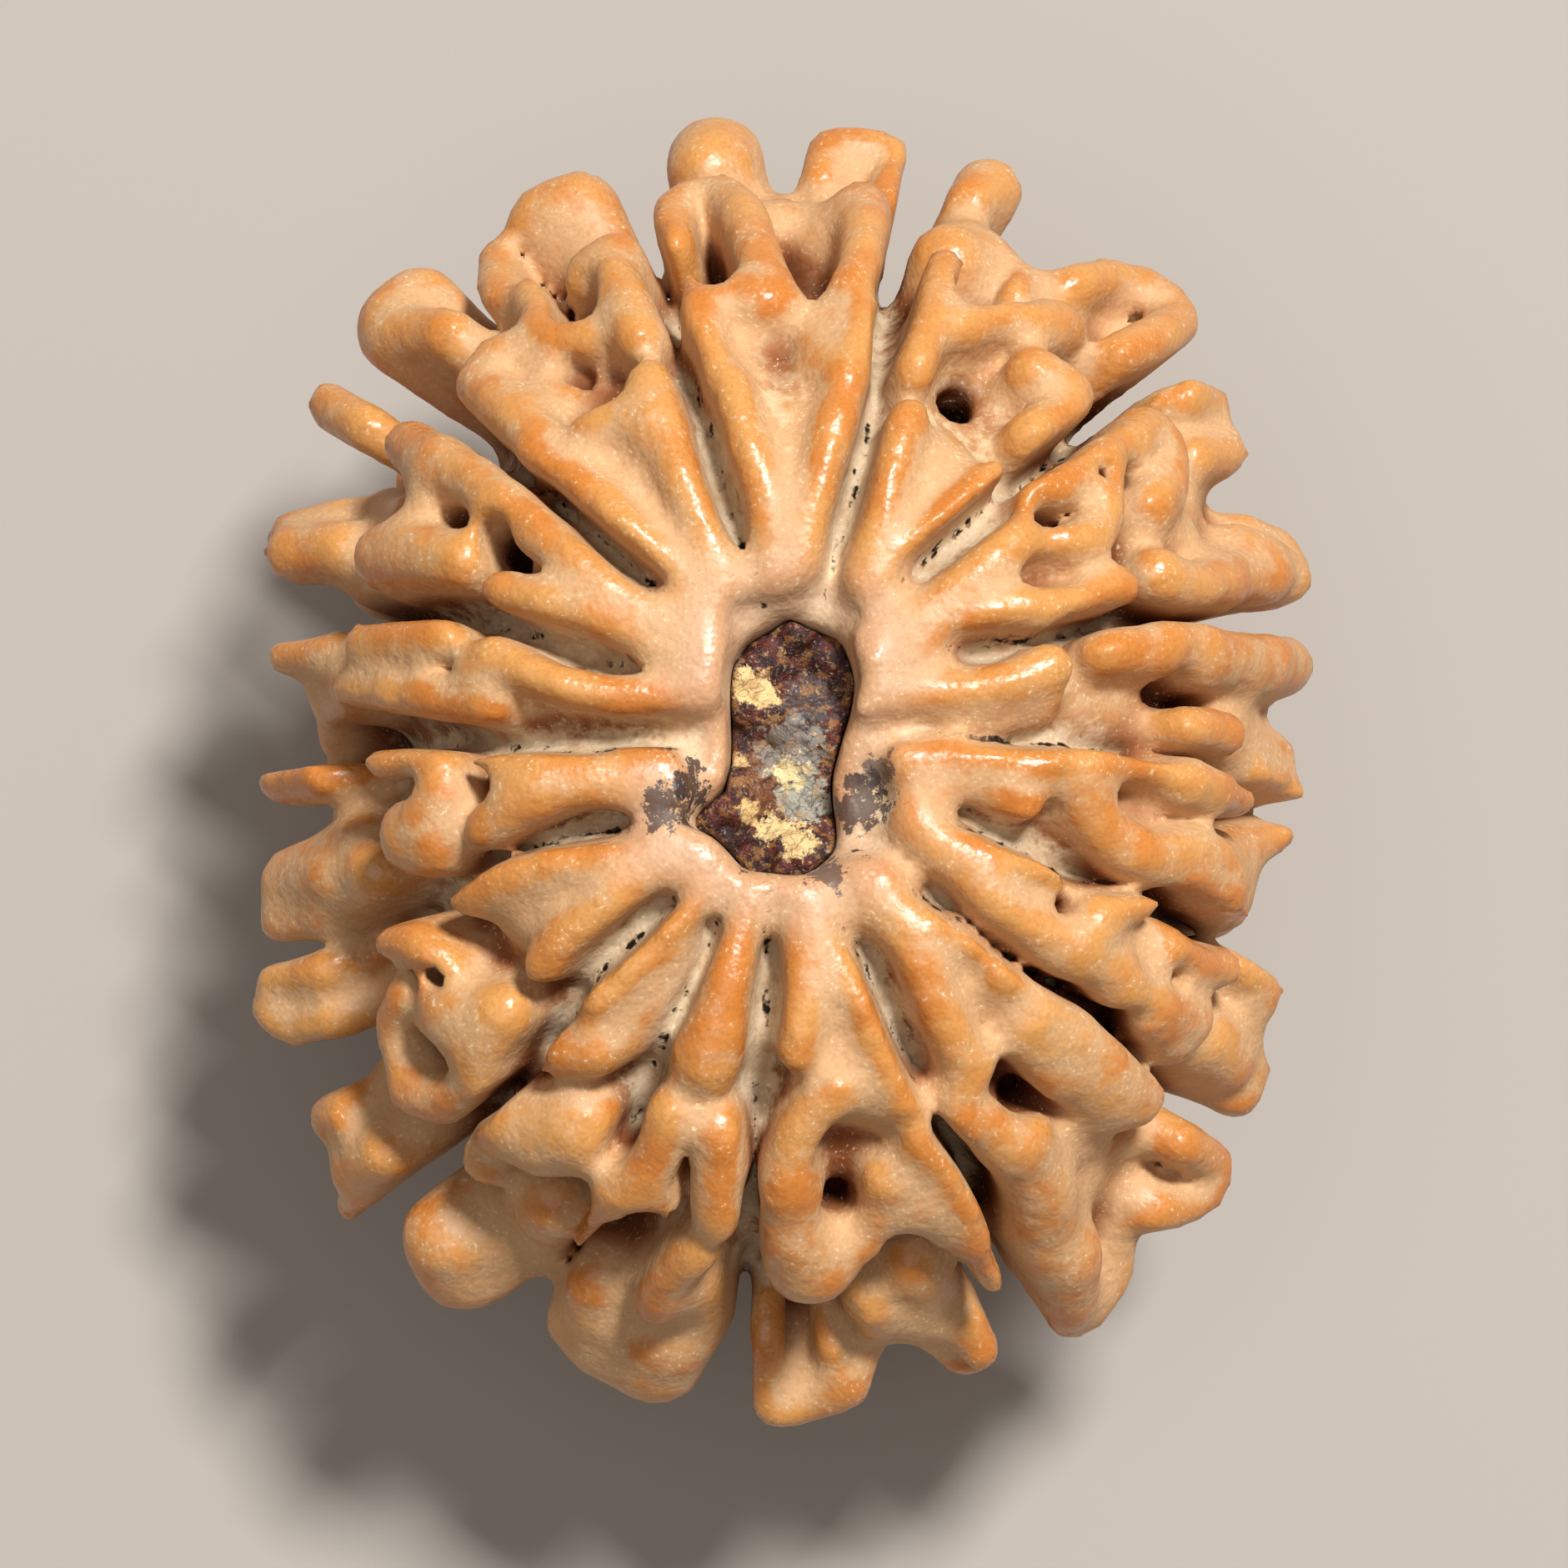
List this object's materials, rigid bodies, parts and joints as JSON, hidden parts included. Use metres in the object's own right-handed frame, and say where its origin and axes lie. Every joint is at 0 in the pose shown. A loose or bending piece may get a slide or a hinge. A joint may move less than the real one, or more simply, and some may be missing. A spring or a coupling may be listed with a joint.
{
  "type": "rudraksha seed",
  "caption": "Whole ribbed rudraksha seed stone with knobbly lobed faces, deep seams and an open pole with dried pulp, standing on its closed pole.",
  "frame": {"origin": "middle of the box round the seed, at the surface that it stands on", "axes": "+Z from the closed pole to the open pole, +Y along the seed's long side, +X across it"},
  "size_m": [0.027, 0.0333, 0.0218],
  "materials": {
    "stone": "waxy satin, paler in the valleys",
    "pulp": "dark dried fruit pulp, slightly glossy"
  },
  "bodies": {
    "root": {"stone": "stone", "dried_pulp": "pulp"}
  },
  "joints": []
}
